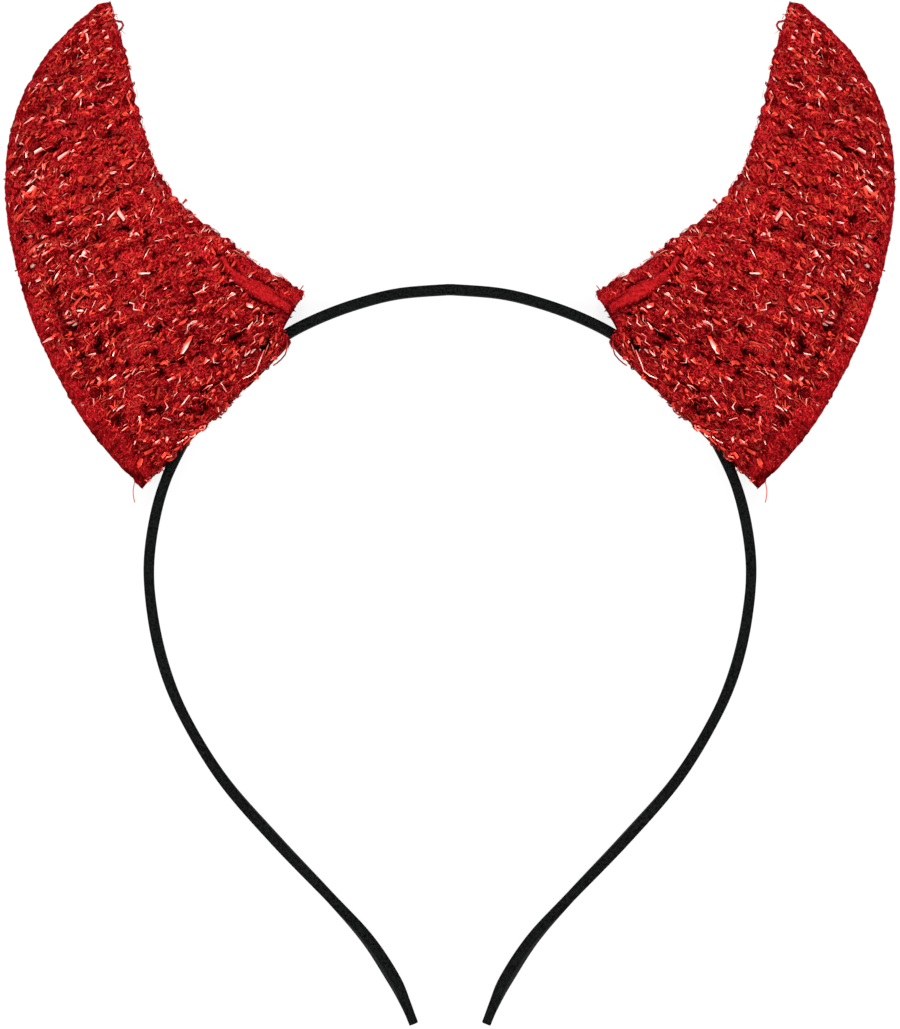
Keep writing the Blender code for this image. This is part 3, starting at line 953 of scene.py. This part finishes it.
def tint_group():
    """A colour between dark, middle and bright by a shade, darkened where the tone is low."""
    kinds = {name: "NodeSocketColor" for name in ("Dark", "Middle", "Bright")}
    kinds.update({name: "NodeSocketFloat" for name in ("Bright From", "Shade", "Tone")})
    tree, inputs, outputs = new_group("shade_tint", kinds, ("Color", "NodeSocketColor"))
    lower = ranged(tree, inputs["Shade"], {"From Max": 0.5})
    upper = ranged(tree, inputs["Shade"], {"From Min": inputs["Bright From"]})
    first = mixed(tree, lower, inputs["Dark"], inputs["Middle"])
    second = mixed(tree, upper, first, inputs["Bright"])
    toned = mixed(tree, 1.0, second, inputs["Tone"], "MULTIPLY")
    tree.links.new(toned, outputs["Color"])
    return tree


def place_group(tree, group, inputs):
    """The result of a node group placed in a material with its own values."""
    node = tree.nodes.new("ShaderNodeGroup")
    node.node_tree = group
    feed(tree, node, inputs)
    return node.outputs[0]


def read_value(tree, name):
    """A number that the mesh holds."""
    node = tree.nodes.new("ShaderNodeAttribute")
    node.attribute_name = name
    return node.outputs["Fac"]


def bumped(tree, height, distance):
    """A surface's direction with fine bumps."""
    node = tree.nodes.new("ShaderNodeBump")
    feed(tree, node, {"Strength": 0.5, "Distance": distance, "Height": height})
    return node.outputs["Normal"]


def cloth_material(mottle):
    """The horns' cloth: a plain red border, and under the pile a darker ground that painted shade takes
    nearly to black in its grooves and gaps, all scaled by a tone that carries painted shade and highlight
    too.
    """
    material, tree, shader = new_material("red_tinsel_cloth")
    spots = place_group(tree, mottle, {"Size": 0.7, "Contrast": 3.0})
    border = mixed(tree, spots, (0.17, 0.003, 0.004, 1), (0.50, 0.013, 0.015, 1))
    under = mixed(tree, spots, (0.06, 0.0, 0.0004, 1), (0.24, 0.004, 0.005, 1))
    # Painted shade: the ground goes nearly black where the grooves and gaps are deep
    ground = mixed(tree, read_value(tree, "pit"), under, (0.006, 0.0, 0.0001, 1))
    both = mixed(tree, read_value(tree, "pile"), border, ground)
    toned = mixed(tree, 1.0, both, read_value(tree, "tone"), "MULTIPLY")
    fine = place_group(tree, mottle, {"Size": 0.35, "Contrast": 2.0})
    feed(tree, shader, {"Base Color": toned, "Roughness": 0.8, "Specular IOR Level": 0.0})
    feed(tree, shader, {"Normal": bumped(tree, fine, 0.0001)})
    return material


def tinted(tree, tint, dark, middle, bright, bright_from):
    """The colour between three others that a small piece's own shade and tone ask for."""
    colours = {"Dark": dark, "Middle": middle, "Bright": bright, "Bright From": bright_from}
    numbers = {"Shade": read_value(tree, "shade"), "Tone": read_value(tree, "tone")}
    return place_group(tree, tint, {**colours, **numbers})


def pile_material(tint):
    """Soft red fibres, each in a shade of its own, with the painted shade and highlight that their tone
    carries.
    """
    material, tree, shader = new_material("red_pile")
    dark, middle, bright = (0.055, 0.0, 0.0004, 1), (0.47, 0.0095, 0.0142, 1), (0.90, 0.044, 0.043, 1)
    colour = tinted(tree, tint, dark, middle, bright, 0.5)
    feed(tree, shader, {"Base Color": colour, "Roughness": 0.7, "Specular IOR Level": 0.0})
    return material


def tinsel_material(tint):
    """Foil in red shades of its own, darker where painted shade lies in the gaps, and pale where a painted
    highlight lies on it.
    """
    material, tree, shader = new_material("red_tinsel")
    # The bright colour is the pale painted highlight
    dark, middle, bright = (0.03, 0.0, 0.0003, 1), (0.86, 0.046, 0.022, 1), (1.0, 0.80, 0.72, 1)
    colour = tinted(tree, tint, dark, middle, bright, 0.54)
    feed(tree, shader, {"Base Color": colour, "Metallic": 0.35, "Roughness": 0.25})
    feed(tree, shader, {"Specular IOR Level": 0.15})
    return material


def satin_material(mottle):
    """The band's black satin, with a faint fine grain."""
    material, tree, shader = new_material("black_satin")
    grain = place_group(tree, mottle, {"Size": 0.42, "Contrast": 3.6})
    colour = mixed(tree, grain, (0.0006, 0.0006, 0.0006, 1), (0.0074, 0.0079, 0.0079, 1))
    feed(tree, shader, {"Base Color": colour, "Roughness": 0.62, "Specular IOR Level": 0.01})
    feed(tree, shader, {"Normal": bumped(tree, grain, 0.00004)})
    return material


# Floor, light and camera


def make_floor():
    """A plain pale floor."""
    material, tree, shader = new_material("pale_floor")
    feed(tree, shader, {"Base Color": (0.15, 0.15, 0.15, 1), "Roughness": 0.9, "Specular IOR Level": 0.0})
    feed(tree, shader, {"Emission Color": (1, 1, 1, 1), "Emission Strength": 0.84})
    mesh = bpy.data.meshes.new("floor")
    half, drop = 3.0, 0.0003
    corners = [(-half, -half, 0), (half, -half, 0), (half, half, 0), (-half, half, 0)]
    mesh.from_pydata(corners, [], [(0, 1, 2, 3)])
    mesh.materials.append(material)
    floor = bpy.data.objects.new("floor", mesh)
    floor.location.z = -drop
    bpy.context.scene.collection.objects.link(floor)


Softbox = namedtuple("Softbox", "name place size strength")
SOFTBOXES = [
    Softbox("key_light", (0.0, 0.52, 0.72), 0.20, 24.0),
    Softbox("low_light", (0.0, -0.62, 0.66), 0.20, 18.0),
    Softbox("left_light", (-0.62, 0.18, 0.66), 0.34, 6.5),
    Softbox("right_light", (0.62, 0.18, 0.66), 0.34, 6.5),
    Softbox("left_back_light", (-0.40, -0.35, 0.74), 0.34, 6.0),
    Softbox("right_back_light", (0.40, -0.35, 0.74), 0.34, 6.0),
]


def add_softbox(name, place, size, strength):
    """A square soft light that faces the middle of the headband."""
    light = bpy.data.lights.new(name, "AREA")
    light.shape = "SQUARE"
    light.size = size
    light.energy = strength * math.pi * size**2
    box = bpy.data.objects.new(name, light)
    box.location = place
    box.rotation_euler = (Vector((0, 0, 0)) - box.location).to_track_quat("-Z", "Y").to_euler()
    box.visible_camera = False
    bpy.context.scene.collection.objects.link(box)


def light_studio():
    """Plain soft light from all round, with six softboxes."""
    world = bpy.data.worlds.new("studio")
    world.use_nodes = True
    tree = world.node_tree
    feed(tree, tree.nodes["Background"], {"Color": (1, 1, 1, 1), "Strength": 0.70})
    bpy.context.scene.world = world
    for softbox in SOFTBOXES:
        add_softbox(*softbox)


def place_camera():
    """A camera straight above the middle, as the photograph has it."""
    camera = bpy.data.cameras.new("camera")
    camera.lens = 150
    camera.sensor_width = 36
    view_height, middle_height = 0.2058, 0.005
    above = camera.lens * view_height / camera.sensor_width
    holder = bpy.data.objects.new("camera", camera)
    holder.location = (0, 0, above + middle_height)
    bpy.context.scene.collection.objects.link(holder)
    bpy.context.scene.camera = holder
    bpy.context.scene.view_settings.view_transform = "Standard"


def main():
    """Dress both horns and the band, and light them."""
    mottle, tint = mottle_group(), tint_group()
    cloth = cloth_material(mottle)
    pile = pile_material(tint)
    tinsel = tinsel_material(tint)
    make_band(satin_material(mottle))
    for facing, word, fibres, strips, threads in DRESSINGS:
        panel = shape_panel(facing)
        for side, side_name in ((-1, "left"), (1, "right")):
            node = f"horn_{side_name}_{word}"
            sheet = make_cloth(f"{node}_cloth", side, facing, panel, cloth)
            dressing = [
                pile_of(f"{node}_pile", side, facing, panel, fibres, pile),
                *tinsel_of(node, side, facing, panel, strips, tinsel, pile),
                threads_of(f"{node}_threads", side, facing, panel, threads, tinsel),
            ]
            if facing > 0:
                dressing.append(strands_of(f"{node}_strands", side, panel, tinsel))
            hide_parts(node)
    make_floor()
    light_studio()
    place_camera()


main()
